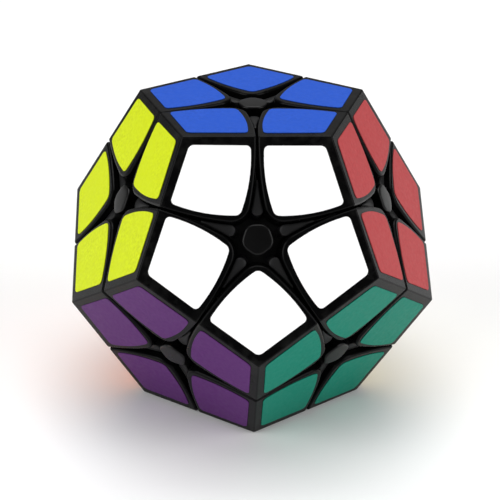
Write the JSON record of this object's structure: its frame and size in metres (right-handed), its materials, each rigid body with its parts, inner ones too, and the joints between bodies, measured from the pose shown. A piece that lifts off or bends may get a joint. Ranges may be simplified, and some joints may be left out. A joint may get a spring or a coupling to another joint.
{
  "type": "dodecahedron twisty puzzle",
  "caption": "Dodecahedral twisty puzzle: kite-faced black corners with coloured stickers turn in layers round sprung, capped face centres on a hidden core.",
  "frame": {"origin": "centre of the core, which is the centre of the dodecahedron", "axes": "+Z through the middle of the top (blue) face; -Y towards the front (white) face, which looks 26.6 degrees upwards; the light blue face rests on the ground"},
  "size_m": [0.0864, 0.0908, 0.074],
  "materials": {
    "corner_plastic": "satin black moulded plastic",
    "cap_plastic": "smooth satin black",
    "inner_plastic": "fine matt dark grey",
    "core_plastic": "matt black",
    "screw_steel": "zinc plated",
    "spring_steel": "bright drawn wire",
    "sticker_white": "printed vinyl film, semi matt",
    "sticker_blue": "printed vinyl film, semi matt",
    "sticker_red": "printed vinyl film, semi matt",
    "sticker_green": "printed vinyl film, semi matt",
    "sticker_purple": "printed vinyl film, semi matt",
    "sticker_yellow": "printed vinyl film, semi matt",
    "sticker_pink": "printed vinyl film, semi matt",
    "sticker_light_green": "printed vinyl film, semi matt",
    "sticker_cream": "printed vinyl film, semi matt",
    "sticker_grey": "printed vinyl film, semi matt",
    "sticker_orange": "printed vinyl film, semi matt",
    "sticker_light_blue": "printed vinyl film, semi matt"
  },
  "bodies": {
    "fixed": {"core": "core_plastic", "face_screws": "screw_steel", "fixed_caps": "cap_plastic", "fixed_centres": "inner_plastic", "fixed_corners": "corner_plastic", "fixed_edges": "inner_plastic", "fixed_stickers_blue": "sticker_blue", "fixed_stickers_cream": "sticker_cream", "fixed_stickers_green": "sticker_green", "fixed_stickers_grey": "sticker_grey", "fixed_stickers_light_green": "sticker_light_green", "fixed_stickers_orange": "sticker_orange", "fixed_stickers_purple": "sticker_purple", "fixed_stickers_red": "sticker_red", "fixed_stickers_yellow": "sticker_yellow", "screw_washers": "screw_steel", "tension_springs": "spring_steel"},
    "front": {"corner_blue_white_red": "corner_plastic", "corner_blue_white_yellow": "corner_plastic", "corner_white_purple_green": "corner_plastic", "corner_white_red_green": "corner_plastic", "corner_white_yellow_purple": "corner_plastic", "front_cap": "cap_plastic", "front_centre": "inner_plastic", "front_edges": "inner_plastic", "front_stickers_blue": "sticker_blue", "front_stickers_green": "sticker_green", "front_stickers_purple": "sticker_purple", "front_stickers_red": "sticker_red", "front_stickers_white": "sticker_white", "front_stickers_yellow": "sticker_yellow"},
    "back": {"back_cap": "cap_plastic", "back_centre": "inner_plastic", "back_edges": "inner_plastic", "back_stickers_blue": "sticker_blue", "back_stickers_cream": "sticker_cream", "back_stickers_grey": "sticker_grey", "back_stickers_light_green": "sticker_light_green", "back_stickers_pink": "sticker_pink", "back_stickers_red": "sticker_red", "corner_blue_pink_light_green": "corner_plastic", "corner_blue_red_pink": "corner_plastic", "corner_pink_cream_grey": "corner_plastic", "corner_pink_light_green_grey": "corner_plastic", "corner_red_pink_cream": "corner_plastic"},
    "bottom": {"bottom_cap": "cap_plastic", "bottom_centre": "inner_plastic", "bottom_edges": "inner_plastic", "bottom_stickers_cream": "sticker_cream", "bottom_stickers_green": "sticker_green", "bottom_stickers_grey": "sticker_grey", "bottom_stickers_light_blue": "sticker_light_blue", "bottom_stickers_orange": "sticker_orange", "bottom_stickers_purple": "sticker_purple", "corner_cream_grey_light_blue": "corner_plastic", "corner_green_cream_light_blue": "corner_plastic", "corner_grey_orange_light_blue": "corner_plastic", "corner_purple_green_light_blue": "corner_plastic", "corner_purple_orange_light_blue": "corner_plastic"}
  },
  "joints": [
    {"name": "front_turn", "type": "hinge", "parent": "fixed", "child": "front", "pos_m": [0, 0, 0], "axis": [0, -0.8944, 0.4472], "continuous": true},
    {"name": "back_turn", "type": "hinge", "parent": "fixed", "child": "back", "pos_m": [0, 0, 0], "axis": [0.5257, 0.7236, 0.4472], "continuous": true},
    {"name": "bottom_turn", "type": "hinge", "parent": "fixed", "child": "bottom", "pos_m": [0, 0, 0], "axis": [0, 0, -1], "continuous": true}
  ]
}
